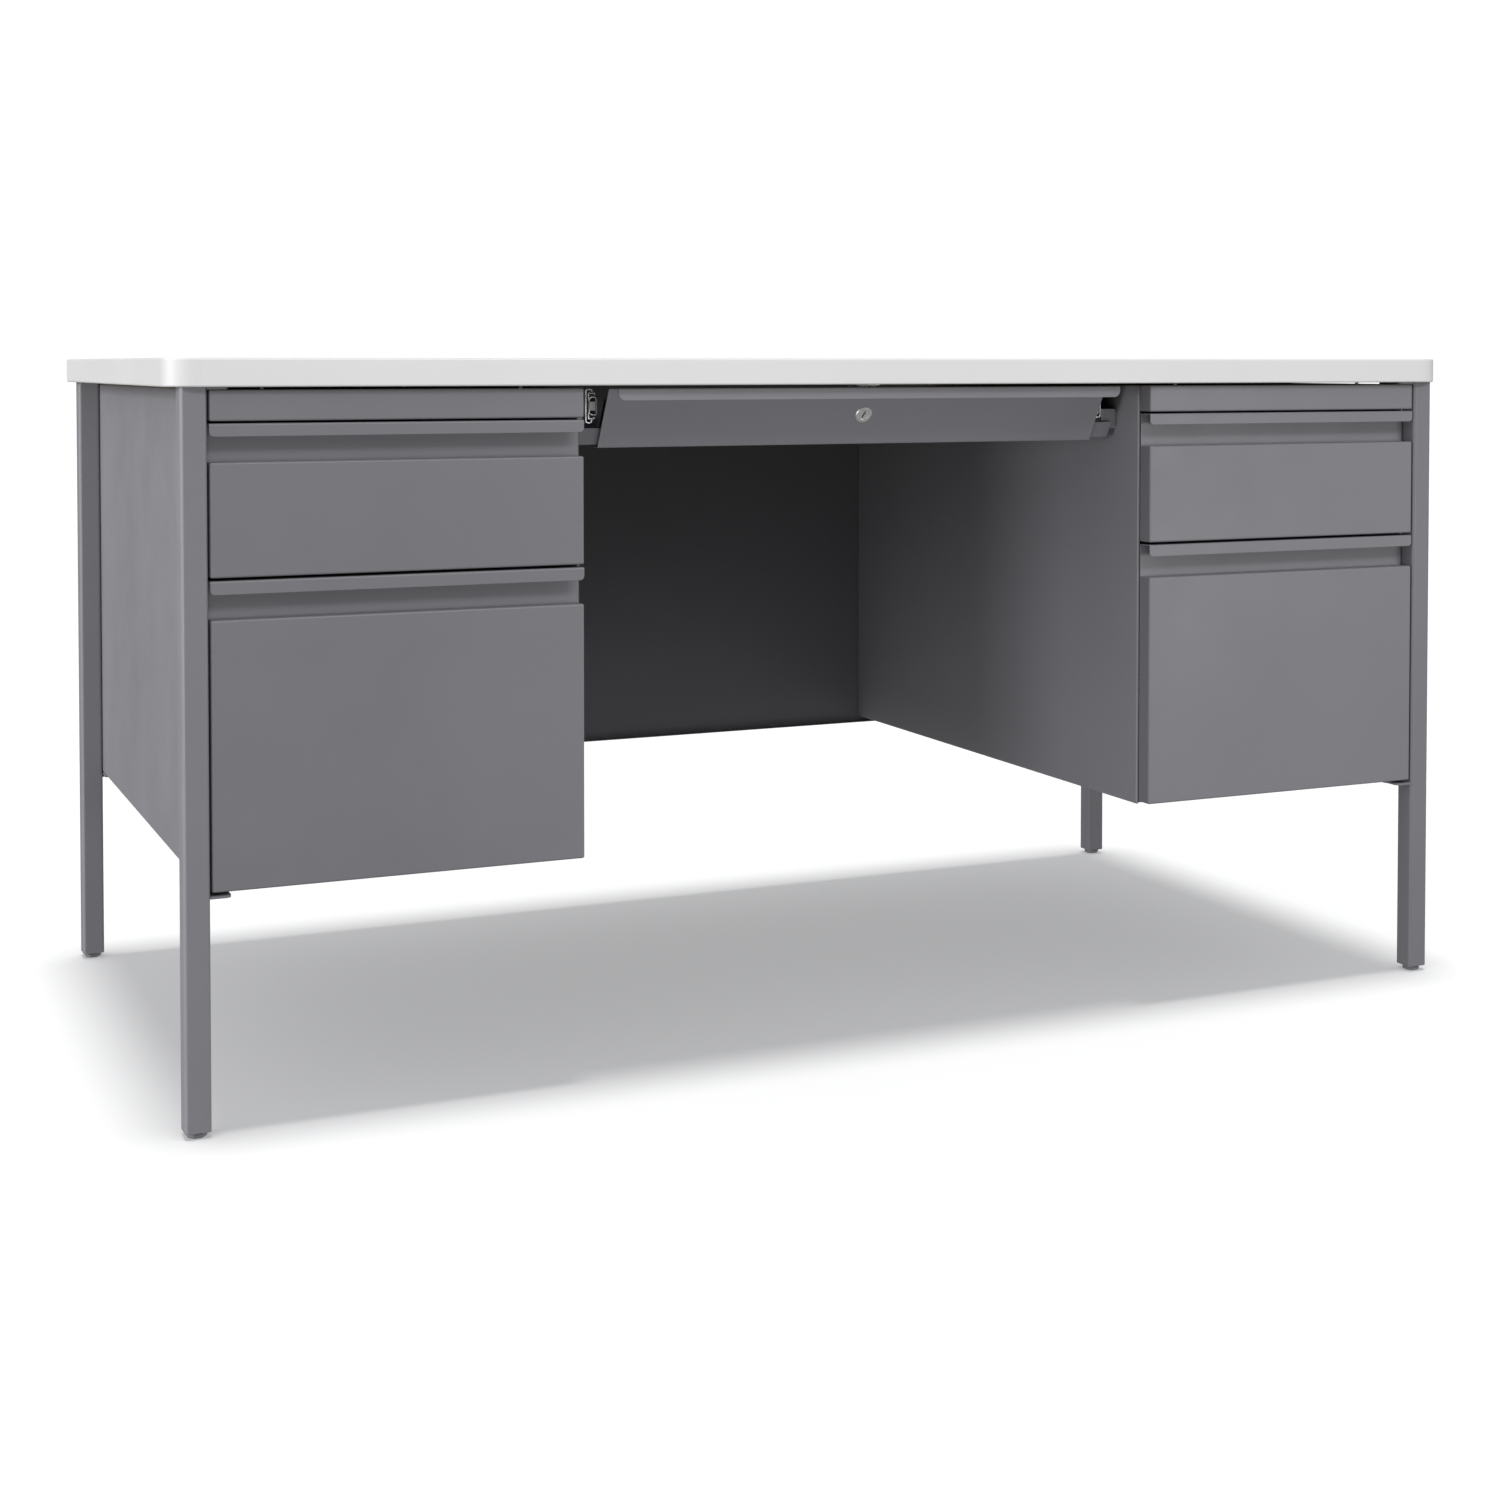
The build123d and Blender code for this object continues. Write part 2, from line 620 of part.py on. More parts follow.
def lock_plane():
    """Plane on the raked face at the lock: its Z points out of the face, its Y up the face."""
    outward = (0, -math.cos(CENTRE_RAKE), -math.sin(CENTRE_RAKE))
    return Plane(origin=(0, face_y(LOCK_HEIGHT), LOCK_HEIGHT), x_dir=(1, 0, 0), z_dir=outward)


def lock_hole():
    """Clearance hole for the lock body through the face and its backing."""
    return lock_plane() * Cylinder(LOCK_BODY_RADIUS + TOUCH, 2 * LOCK_BODY_DEPTH)


def make_centre_front():
    under_top = CENTRE_TOP - FRONT_GAUGE
    behind_lip = CENTRE_LIP_Y + FRONT_GAUGE
    path = [(CENTRE_BOTTOM_Y + CENTRE_FLANGE, CENTRE_BOTTOM), (CENTRE_BOTTOM_Y, CENTRE_BOTTOM)]
    path += [(face_y(under_top), under_top), (behind_lip, under_top), (behind_lip, CENTRE_LIP_BOTTOM)]
    front = along_x(folded_section(path, FRONT_GAUGE), -CENTRE_HALF, CENTRE_HALF)
    cross_edges = front.edges().filter_by(Axis.Y)
    lip_corners = [edge for edge in cross_edges if abs(edge.center().Z - CENTRE_LIP_BOTTOM) < TOUCH]
    return fillet(lip_corners, CENTRE_LIP_END_RADIUS) - lock_hole()


def raked_sheet(half_width, heights, depth):
    """Flat sheet parallel to the raked face, its front side depth behind the face's visible side."""
    shift = depth / math.cos(CENTRE_RAKE)
    thickness = PANEL_GAUGE / math.cos(CENTRE_RAKE)
    low, high = heights
    points = [(face_y(low) + shift, low), (face_y(high) + shift, high)]
    points += [(face_y(high) + shift + thickness, high), (face_y(low) + shift + thickness, low)]
    return along_x(rounded_outline(points, [0] * len(points)), -half_width, half_width)


def make_centre_backing():
    """Sheet behind the face. Its wings reach under the slides towards the pedestals."""
    depth = FRONT_GAUGE + BACKING_GAP
    sheet = raked_sheet(BACKING_HALF, BACKING_HEIGHTS, depth)
    return sheet + raked_sheet(WING_HALF, WING_HEIGHTS, depth) - lock_hole()


def make_centre_tray():
    """Shallow tray with its front ends cut to the rake of the face."""
    y = (face_y(TRAY_TOP), TRAY_BACK)
    bottom = CENTRE_BOTTOM + FRONT_GAUGE + TOUCH
    tray = pan((-TRAY_HALF, TRAY_HALF), y, (bottom, TRAY_TOP), Axis.Z, -1, TUB_GAUGE)
    clear = FRONT_GAUGE + BACKING_GAP + PANEL_GAUGE + TOUCH
    shift = clear / math.cos(CENTRE_RAKE)
    low, high = CENTRE_BOTTOM - FRONT_GAUGE, CENTRE_TOP
    front_y = 2 * CENTRE_LIP_Y
    points = [(front_y, low), (face_y(low) + shift, low), (face_y(high) + shift, high)]
    points.append((front_y, high))
    tray -= along_x(rounded_outline(points, [0] * len(points)), -WING_HALF, WING_HALF)
    inside = TRAY_HALF - TUB_GAUGE
    back_y = (TRAY_BACK - 2 * TUB_GAUGE, TRAY_BACK + TOUCH)
    return tray - block((-inside, inside), back_y, (TRAY_BACK_TOP, CENTRE_TOP))


# Lock


def make_lock_housing():
    """Flanged barrel with two flats, bored for the plug."""
    low_end = (Align.CENTER, Align.CENTER, Align.MIN)
    high_end = (Align.CENTER, Align.CENTER, Align.MAX)
    flange = Cylinder(LOCK_FLANGE_RADIUS, LOCK_FLANGE, align=low_end)
    flange = chamfer(flange.edges().sort_by(Axis.Z)[-1], LOCK_FLANGE / 3)
    barrel = Cylinder(LOCK_BODY_RADIUS, LOCK_BODY_DEPTH, align=high_end)
    bore = Cylinder(PLUG_RADIUS + PLUG_CLEARANCE, 3 * LOCK_BODY_DEPTH)
    across = (-LOCK_FLANGE_RADIUS, LOCK_FLANGE_RADIUS)
    for side in (-1, 1):
        beyond_flat = sorted((side * LOCK_BODY_FLAT, side * LOCK_FLANGE_RADIUS))
        barrel -= block(beyond_flat, across, (-2 * LOCK_BODY_DEPTH, 0))
    return lock_plane() * (flange + barrel - bore)


def make_lock_nut():
    """Hexagon nut that clamps the lock behind the backing sheet."""
    start = FRONT_GAUGE + BACKING_GAP + PANEL_GAUGE + TOUCH
    section = RegularPolygon(NUT_ACROSS_FLATS / 2 / math.cos(math.pi / 6), 6)
    section -= Circle(LOCK_BODY_RADIUS + TOUCH / 2)
    return lock_plane() * Pos(0, 0, -start - NUT_THICKNESS) * extrude(section, NUT_THICKNESS)


def make_lock_plug():
    """Turning plug with a stepped keyway, a shoulder at the rear and a square tail for the cam."""
    low_end = (Align.CENTER, Align.CENTER, Align.MIN)
    high_end = (Align.CENTER, Align.CENTER, Align.MAX)
    rear = LOCK_BODY_DEPTH + 2 * TOUCH
    front = PLUG_PROUD
    body = Pos(0, 0, -rear) * Cylinder(PLUG_RADIUS, rear + front, align=low_end)
    shoulder = Pos(0, 0, -rear) * Cylinder(PLUG_SHOULDER_RADIUS, CAM_THICKNESS / 2, align=high_end)
    tail_depth = CAM_THICKNESS / 2 + CAM_THICKNESS
    tail = Pos(0, 0, -rear) * Box(PLUG_TAIL, PLUG_TAIL, tail_depth, align=high_end)
    slot_z = (front - KEYWAY_DEPTH, front + TOUCH)
    half = KEYWAY_HEIGHT / 2
    slot = block((0, KEYWAY_WIDTH), (0, half), slot_z) + block((-KEYWAY_WIDTH, 0), (-half, 0), slot_z)
    slot += block((-KEYWAY_WIDTH / 2, KEYWAY_WIDTH / 2), (-half / 2, half / 2), slot_z)
    tapped_depth = tail_depth + SCREW_HEAD
    tapped = Pos(0, 0, -rear - tail_depth) * Cylinder(SCREW_SHANK_RADIUS, tapped_depth, align=low_end)
    return lock_plane() * (body + shoulder + tail - slot - tapped)


def cam_depths():
    """Rear and front of the cam on the lock's axis."""
    front = -LOCK_BODY_DEPTH - 2 * TOUCH - CAM_THICKNESS / 2
    return front - CAM_THICKNESS, front


def make_lock_cam():
    """Flat bar on the plug's tail. It points sideways when the drawer is unlocked."""
    rear, front = cam_depths()
    half = CAM_WIDTH / 2
    bar = block((-half, CAM_REACH), (-half, half), (rear, front))
    bar = fillet(bar.edges().filter_by(Axis.Z), half / 2)
    square = PLUG_TAIL / 2 + TOUCH / 2
    return lock_plane() * (bar - block((-square, square), (-square, square), (2 * rear, 0)))


def make_lock_cam_screw():
    """Screw that holds the cam on the plug."""
    rear = cam_depths()[0]
    high_end = (Align.CENTER, Align.CENTER, Align.MAX)
    low_end = (Align.CENTER, Align.CENTER, Align.MIN)
    head = Pos(0, 0, rear) * Cylinder(CAM_SCREW_HEAD_RADIUS, CAM_SCREW_HEAD, align=high_end)
    shank = Pos(0, 0, rear) * Cylinder(SCREW_SHANK_RADIUS, CAM_SCREW_LENGTH, align=low_end)
    return lock_plane() * (head + shank)


def make_lock_strike():
    """Angle under the desktop that the raised cam catches behind."""
    rear = STRIKE_Y
    top = TOP_UNDERSIDE
    path = [(rear, STRIKE_BOTTOM), (rear, top), (rear - STRIKE_FOOT, top)]
    near = folded_section(path[::-1], STRIKE_GAUGE)
    strike = along_x(near, -STRIKE_HALF, STRIKE_HALF)
    return drill(strike, strike_screw_points(), SCREW_HOLE_RADIUS, STRIKE_GAUGE * 2)


# Assembly


def frame_nodes():
    """Fixed pieces of the desk, by node name."""
    nodes = {
        "desktop_core": make_desktop_core(),
        "desktop_laminate": make_desktop_laminate(),
        "desktop_edge_band": make_desktop_edge_band(),
        "desktop_screws": make_desktop_screws(),
        "leg_inserts": make_leg_inserts(),
        "leg_tabs": make_leg_tabs(),
        "tab_screws": make_tab_screws(),
        "back_panel": make_back_panel(),
        "back_panel_screws": make_back_panel_screws(),
        "centre_slide_brackets": make_centre_slide_brackets(),
        "lock_strike": make_lock_strike(),
    }
    casing = {
        "end_panel": make_end_panel(),
        "inner_panel": make_inner_panel(),
        "bottom_pan": make_bottom_pan(),
        "filler_rail": make_filler_rail(),
        "top_rails": make_top_rails(),
    }
    nodes.update(handed_pair(casing))
    for row, side_y in (("front", -1), ("rear", 1)):
        for hand, side_x in ((LEFT_HAND, -1), (RIGHT_HAND, 1)):
            nodes[f"leg_{row}_{hand}"] = make_leg(side_x, side_y)
            nodes[f"glide_{row}_{hand}"] = make_glide(side_x, side_y)
    return nodes


def handed_pair(shapes):
    """Right-hand shapes and their left-hand mirror images, by node name."""
    nodes = {}
    for name, shape in shapes.items():
        nodes[f"{RIGHT_HAND}_{name}"] = shape
        nodes[f"{LEFT_HAND}_{name}"] = mirrored(shape)
    return nodes


def pedestal_drawer_nodes():
    """Drawer fronts, tubs and slides of both pedestals, by node name."""
    sizes = {
        "box": (BOX_FACE, BOX_LIP, BOX_TUB, BOX_SLIDE_Z),
        "file": (FILE_FACE, FILE_LIP, FILE_TUB, FILE_SLIDE_Z),
    }
    shapes = {}
    for kind, (face, lip, tub, slide_z) in sizes.items():
        shapes[f"{kind}_front"] = make_drawer_front(face, lip)
        shapes[f"{kind}_tub"] = make_drawer_tub(tub)
        shapes[f"{kind}_slide_outers"] = pedestal_slides(slide_outer, slide_z)
        shapes[f"{kind}_slide_middles"] = pedestal_slides(slide_middle, slide_z)
        shapes[f"{kind}_slide_inners"] = pedestal_slides(slide_inner, slide_z)
    return handed_pair(shapes)


def centre_drawer_nodes():
    """Centre drawer, its slides and its lock, by node name."""
    return {
        "centre_front": make_centre_front(),
        "centre_backing": make_centre_backing(),
        "centre_tray": make_centre_tray(),
        "centre_slide_outers": centre_slides(slide_outer),
        "centre_slide_middles": centre_slides(slide_middle),
        "centre_slide_inners": centre_slides(slide_inner),
        "lock_housing": make_lock_housing(),
        "lock_nut": make_lock_nut(),
        "lock_plug": make_lock_plug(),
        "lock_cam": make_lock_cam(),
        "lock_cam_screw": make_lock_cam_screw(),
    }


os.makedirs("parts", exist_ok=True)
for make_group in (frame_nodes, pedestal_drawer_nodes, centre_drawer_nodes):
    for node, shape in make_group().items():
        export_step(shape, f"parts/{node}.step")
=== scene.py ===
import json
import math

import bmesh
import bpy
from mathutils import Matrix, Vector


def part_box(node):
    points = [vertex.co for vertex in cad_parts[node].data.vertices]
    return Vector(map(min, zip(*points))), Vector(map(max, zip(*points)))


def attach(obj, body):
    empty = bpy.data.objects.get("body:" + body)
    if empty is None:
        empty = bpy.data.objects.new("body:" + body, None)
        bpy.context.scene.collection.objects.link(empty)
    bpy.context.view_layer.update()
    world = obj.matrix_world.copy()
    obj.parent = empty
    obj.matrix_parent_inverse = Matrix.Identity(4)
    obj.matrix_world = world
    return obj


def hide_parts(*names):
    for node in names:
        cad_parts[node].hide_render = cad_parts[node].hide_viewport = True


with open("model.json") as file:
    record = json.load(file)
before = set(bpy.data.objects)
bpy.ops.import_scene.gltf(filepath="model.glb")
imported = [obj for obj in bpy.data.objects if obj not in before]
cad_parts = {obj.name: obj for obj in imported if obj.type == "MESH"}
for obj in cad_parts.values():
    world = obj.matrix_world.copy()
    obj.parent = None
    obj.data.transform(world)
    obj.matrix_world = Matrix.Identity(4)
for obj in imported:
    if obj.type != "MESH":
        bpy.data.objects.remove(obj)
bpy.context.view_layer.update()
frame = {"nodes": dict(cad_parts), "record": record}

MM = 0.001
HANDS = ("left", "right")
DRAWERS = ("box", "file")
RANGE_SOCKETS = ("From Min", "From Max", "To Min", "To Max")

CAMERA_PLACE = (-1.11722, -2.52516, 0.7415)
CAMERA_DOWN = 1.6889     # degrees below level
CAMERA_TURN = 23.9998    # degrees clockwise from +Y, seen from above
CAMERA_LENS = 53.771     # mm
CAMERA_SENSOR = 36.0     # mm
CAMERA_SHIFT = -0.213
CAMERA_SEES = 200.0      # m
FLOOR_HALF_SIDE = 40.0   # m
SUN_STRENGTH = 3.6
SUN_ANGLE = 10           # degrees
SOFTBOXES = (            # name, place, target, width, height, watts
    ("key_front", (1.0, -3.9, 3.5), (0.4, 0, 0.4), 2.6, 0.8, 74),
    ("key_left", (-4.0, 0.3, 1.5), (-0.7, 0, 0.45), 2.0, 1.2, 98),
    ("fill_left", (-3.2, -2.2, 0.4), (0.3, -0.3, 0.4), 1.0, 0.8, 25),
    ("fill_legs", (-3.0, -2.6, 0.4), (-0.7, -0.3, 0.4), 1.0, 0.8, 46),
    ("fill_fronts", (-1.6, -4.0, 0.5), (0.0, -0.37, 0.5), 1.0, 0.8, 26),
    ("fill_low", (1.8, -3.2, 0.45), (0.3, -0.37, 0.5), 1.4, 0.7, 19),
    ("knee_side", (-3.2, -1.55, 0.45), (0.3, -0.3, 0.4), 0.8, 0.8, 38),
    ("knee_low", (-0.25, -0.6, 0.03), (0.3, -0.15, 0.25), 0.3, 0.3, 0.7),
    ("bounce", (0.1, -1.9, 0.03), (0.0, -0.35, 0.7), 2.4, 0.8, 16),
    ("band_wide", (0.3, -3.8, 2.3), (0.0, -0.35, 0.73), 2.4, 1.0, 116),
)

KEYWAY = (               # outline of the lock's keyway, mm, a hair inside its walls
    (1.65, 4.15), (0.05, 4.15), (0.05, 2.05), (-0.8, 2.05), (-0.8, -0.05), (-1.65, -0.05),
    (-1.65, -4.15), (-0.05, -4.15), (-0.05, -2.05), (0.8, -2.05), (0.8, 0.05), (1.65, 0.05),
)
WAFER_HEIGHTS = (-5.0, -0.6)

SLIDE_SECTIONS = (       # upper half of each member: mm from the wall side, mm below the slide's top
    ((7.4, 3.4), (7.4, 0.9), (3.4, 0.5), (0.6, 1.2), (0.6, 6.5)),
    ((10.6, 6.6), (10.4, 4.6), (6.6, 4.9), (3.4, 4.7), (3.5, 9.5), (4.4, 11.0)),
    ((5.8, 10.6), (5.8, 8.9), (9.0, 9.0), (12.1, 9.0), (12.1, 13.0)),
)
SLIDE_SHEET = 1.15       # mm
BALL_RADIUS = 1.42       # mm
BALLS_IN_ROW = 9
ROW_INSET = 0.012        # from the slide's end or middle to a row's end ball, m
OUTER_BALLS = (4.6, 2.7)     # mm from the wall side, mm below the slide's top
INNER_BALLS = (8.0, 6.95)
CAGE_SHEET = 0.5         # mm
CAGE_HALF_WIDTH = 2.2    # mm
CAGE_PAST_BALL = 0.006   # m
STOP_MIDDLE = 7.4        # mm from the wall side
STOP_WIDTH = 6.4         # mm
STOP_HALF_HEIGHT = 4.6   # mm
STOP_AHEAD = 0.001       # past the slide's front end, m
STOP_BEHIND = 0.012      # m


# Camera, light and floor


def add_camera():
    data = bpy.data.cameras.new("camera")
    data.sensor_width = CAMERA_SENSOR
    data.lens = CAMERA_LENS
    data.shift_y = CAMERA_SHIFT
    data.clip_end = CAMERA_SEES
    camera = bpy.data.objects.new("camera", data)
    camera.location = CAMERA_PLACE
    camera.rotation_euler = (math.radians(90 - CAMERA_DOWN), 0, math.radians(-CAMERA_TURN))
    bpy.context.scene.collection.objects.link(camera)
    bpy.context.scene.camera = camera


def add_world():
    """Soft light that varies with direction. Only the camera sees it as plain white."""
    world = bpy.data.worlds.new("studio")
    world.use_nodes = True
    bpy.context.scene.world = world
    tree = world.node_tree
    tree.nodes.clear()
    output = tree.nodes.new("ShaderNodeOutputWorld")
    direction = tree.nodes.new("ShaderNodeTexCoord").outputs["Generated"]
    axes = tree.nodes.new("ShaderNodeSeparateXYZ")
    tree.links.new(direction, axes.inputs[0])

    def math_node(operation, *values):
        node = tree.nodes.new("ShaderNodeMath")
        node.operation = operation
        for socket, value in zip(node.inputs, values):
            if isinstance(value, (int, float)):
                socket.default_value = value
            else:
                tree.links.new(value, socket)
        return node.outputs[0]

    def ramp(value, low, high, at_low, at_high):
        node = tree.nodes.new("ShaderNodeMapRange")
        node.interpolation_type = "SMOOTHSTEP"
        tree.links.new(value, node.inputs["Value"])
        for socket, number in zip(RANGE_SOCKETS, (low, high, at_low, at_high)):
            node.inputs[socket].default_value = number
        return node.outputs[0]

    x, _, z = axes.outputs
    sideways = math_node("ABSOLUTE", x)
    sky_by_height = ramp(z, 0.1, 0.42, 0.04, 0.66)
    sky_by_side = ramp(x, -0.9, -0.1, 1.5, 0.95)
    ground_by_height = ramp(z, -0.45, -0.05, 1.0, 0.0)
    ground_by_side = ramp(sideways, 0.5, 0.95, 0.14, 1.5)
    above = math_node("MULTIPLY", sky_by_height, sky_by_side)
    below = math_node("MULTIPLY", ground_by_height, ground_by_side)
    strength = math_node("ADD", above, below)
    lit = tree.nodes.new("ShaderNodeBackground")
    lit.inputs["Color"].default_value = (0.985, 0.99, 1.0, 1)
    tree.links.new(strength, lit.inputs["Strength"])
    seen = tree.nodes.new("ShaderNodeBackground")
    seen.inputs["Color"].default_value = (1, 1, 1, 1)
    seen.inputs["Strength"].default_value = 1.05
    rays = tree.nodes.new("ShaderNodeLightPath")
    mix = tree.nodes.new("ShaderNodeMixShader")
    tree.links.new(rays.outputs["Is Camera Ray"], mix.inputs[0])
    tree.links.new(lit.outputs[0], mix.inputs[1])
    tree.links.new(seen.outputs[0], mix.inputs[2])
    tree.links.new(mix.outputs[0], output.inputs["Surface"])


def shine_on(light, name, receivers):
    """Keeps a light for these objects. Everything still casts its shadow."""
    group = bpy.data.collections.new(name)
    for receiver in receivers:
        group.objects.link(receiver)
    light.light_linking.receiver_collection = group


def add_overhead_sun():
    """Broad overhead light that lays the desk's soft shadow straight under it."""
    data = bpy.data.lights.new("overhead", "SUN")
    data.energy = SUN_STRENGTH
    data.angle = math.radians(SUN_ANGLE)
    sun = bpy.data.objects.new("overhead", data)
    bpy.context.scene.collection.objects.link(sun)
    return sun


def add_softbox(name, place, target, width, height, power):
    data = bpy.data.lights.new(name, "AREA")
    data.shape = "RECTANGLE"
    data.size = width
    data.size_y = height
    data.energy = power
    box = bpy.data.objects.new(name, data)
    box.location = place
    box.rotation_euler = (Vector(target) - Vector(place)).to_track_quat("-Z", "Y").to_euler()
    box.visible_camera = False
    bpy.context.scene.collection.objects.link(box)
    return box


# Materials


class Shader:
    """One node material. Lengths are metres of the desk itself, so grain keeps its real size."""

    def __init__(self, name):
        self.material = bpy.data.materials.new(name)
        self.material.use_nodes = True
        self.tree = self.material.node_tree
        self.tree.nodes.clear()
        output = self.tree.nodes.new("ShaderNodeOutputMaterial")
        self.surface = self.tree.nodes.new("ShaderNodeBsdfPrincipled")
        self.tree.links.new(self.surface.outputs[0], output.inputs["Surface"])
        self.place = self.tree.nodes.new("ShaderNodeTexCoord").outputs["Object"]

    def feed(self, socket, value):
        if isinstance(value, bpy.types.NodeSocket):
            self.tree.links.new(value, socket)
        else:
            socket.default_value = value

    def stretched(self, scale):
        node = self.tree.nodes.new("ShaderNodeMapping")
        self.feed(node.inputs["Vector"], self.place)
        node.inputs["Scale"].default_value = scale
        return node.outputs[0]

    def noise(self, scale, detail=2.0, roughness=0.5, stretch=(1, 1, 1)):
        node = self.tree.nodes.new("ShaderNodeTexNoise")
        self.feed(node.inputs["Vector"], self.stretched(stretch))
        node.inputs["Scale"].default_value = scale
        node.inputs["Detail"].default_value = detail
        node.inputs["Roughness"].default_value = roughness
        return node.outputs["Fac"]

    def cells(self, scale, output="Distance", stretch=(1, 1, 1)):
        node = self.tree.nodes.new("ShaderNodeTexVoronoi")
        self.feed(node.inputs["Vector"], self.stretched(stretch))
        node.inputs["Scale"].default_value = scale
        return node.outputs[output]

    def remap(self, value, low, high, new_low, new_high):
        node = self.tree.nodes.new("ShaderNodeMapRange")
        self.feed(node.inputs["Value"], value)
        for socket, number in zip(RANGE_SOCKETS, (low, high, new_low, new_high)):
            node.inputs[socket].default_value = number
        return node.outputs[0]

    def maths(self, operation, first, second=0.0):
        node = self.tree.nodes.new("ShaderNodeMath")
        node.operation = operation
        self.feed(node.inputs[0], first)
        self.feed(node.inputs[1], second)
        return node.outputs[0]

    def blend(self, share, first, second):
        node = self.tree.nodes.new("ShaderNodeMix")
        node.data_type = "RGBA"
        self.feed(node.inputs["Factor"], share)
        self.feed(node.inputs[6], first)
        self.feed(node.inputs[7], second)
        return node.outputs[2]

    def soft_edges(self, radius):
        """Normal of the surface with its edges rounded, and how much of an edge each point is."""
        bevel = self.tree.nodes.new("ShaderNodeBevel")
        bevel.samples = 4
        bevel.inputs["Radius"].default_value = radius
        geometry = self.tree.nodes.new("ShaderNodeNewGeometry")
        product = self.tree.nodes.new("ShaderNodeVectorMath")
        product.operation = "DOT_PRODUCT"
        self.feed(product.inputs[0], bevel.outputs[0])
        self.feed(product.inputs[1], geometry.outputs["Normal"])
        return bevel.outputs[0], self.remap(product.outputs["Value"], 0.97, 0.75, 0.0, 1.0)

    def relief(self, height, depth, strength=1.0, normal=None):
        node = self.tree.nodes.new("ShaderNodeBump")
        self.feed(node.inputs["Height"], height)
        node.inputs["Distance"].default_value = depth
        node.inputs["Strength"].default_value = strength
        if normal is not None:
            self.feed(node.inputs["Normal"], normal)
        return node.outputs[0]

    def finish(self, **sockets):
        for name, value in sockets.items():
            self.feed(self.surface.inputs[name.replace("_", " ").title()], value)
        return self.material


def rgb(red, green, blue):
    return (red, green, blue, 1.0)


def shade(colour, factor, lift=0.0):
    """The colour made lighter or darker by a factor."""
    return rgb(*(min(1, c * factor + lift) for c in colour[:3]))


def painted_steel(name, colour, sheen):
    """Powder coat: orange peel, slow drift in tone, cleaner and brighter where hands rub the edges."""
    s = Shader(name)
    drift = s.noise(2.3, 3.0)
    tone = s.blend(s.remap(drift, 0.3, 0.7, 0.0, 1.0), shade(colour, 0.95), shade(colour, 1.05))
    speck = s.remap(s.noise(1900, 1.0), 0.35, 0.65, 0.0, 0.10)
    tone = s.blend(speck, tone, shade(colour, 1.35))
    rounded, edge = s.soft_edges(0.0005)
    rubbed = s.maths("MULTIPLY", edge, s.remap(s.noise(45, 4.0, 0.65), 0.45, 0.7, 0.0, 0.30))
    tone = s.blend(rubbed, tone, shade(colour, 1.9))
    peel = s.relief(s.noise(420, 2.0), 0.00012, 0.16, rounded)
    grain = s.relief(s.noise(1500, 1.0), 0.00004, 0.2, peel)
    rough = s.remap(s.noise(14, 4.0, 0.6), 0.3, 0.7, sheen - 0.04, sheen + 0.05)
    return s.finish(base_color=tone, roughness=rough, normal=grain)


def laminate(name):
    """High-pressure laminate: fine pebble texture, faint smudges in the gloss."""
    s = Shader(name)
    fleck = s.remap(s.noise(1100, 3.0, 0.7), 0.35, 0.7, 0.0, 1.0)
    tone = s.blend(fleck, rgb(0.755, 0.755, 0.75), rgb(0.78, 0.78, 0.775))
    tone = s.blend(s.remap(s.noise(5, 3.0), 0.4, 0.7, 0.0, 0.25), tone, rgb(0.745, 0.745, 0.735))
    pebble = s.relief(s.cells(950), 0.00006, 0.35)
    smudge = s.remap(s.noise(9, 5.0, 0.6), 0.35, 0.7, 0.34, 0.5)
    return s.finish(base_color=tone, roughness=smudge, normal=pebble)


def edge_band(name):
    """Moulded edge band: smoother than the laminate, with faint drag marks along its length."""
    s = Shader(name)
    drift = s.remap(s.noise(7, 3.0), 0.35, 0.65, 0.0, 1.0)
    tone = s.blend(drift, rgb(0.685, 0.685, 0.68), rgb(0.70, 0.70, 0.695))
    rounded, edge = s.soft_edges(0.0006)
    scuff = s.maths("MULTIPLY", edge, s.remap(s.noise(30, 4.0, 0.7), 0.5, 0.75, 0.0, 0.2))
    tone = s.blend(scuff, tone, rgb(0.64, 0.64, 0.625))
    drag = s.relief(s.noise(260, 3.0, 0.6, (0.05, 0.05, 1)), 0.00002, 0.05, rounded)
    rough = s.remap(s.noise(2.5, 2.0), 0.3, 0.7, 0.36, 0.42)
    return s.finish(base_color=tone, roughness=rough, normal=drag)


def particle_board(name):
    """Pressed chips in several browns, lying flat."""
    s = Shader(name)
    chip = s.cells(190, "Color", (1, 0.45, 2.5))
    split = s.tree.nodes.new("ShaderNodeSeparateColor")
    s.feed(split.inputs[0], chip)
    tone = s.blend(split.outputs[0], rgb(0.40, 0.27, 0.15), rgb(0.62, 0.46, 0.28))
    tone = s.blend(s.remap(split.outputs[1], 0.8, 1.0, 0.0, 0.8), tone, rgb(0.22, 0.13, 0.07))
    dust = s.remap(s.noise(900, 3.0, 0.7), 0.4, 0.7, 0.0, 0.5)
    tone = s.blend(dust, tone, rgb(0.68, 0.55, 0.38))
    height = s.maths("ADD", s.cells(190, "Distance", (1, 0.45, 2.5)), s.noise(700, 3.0, 0.7))
    return s.finish(base_color=tone, roughness=0.82, normal=s.relief(height, 0.0003, 0.5))


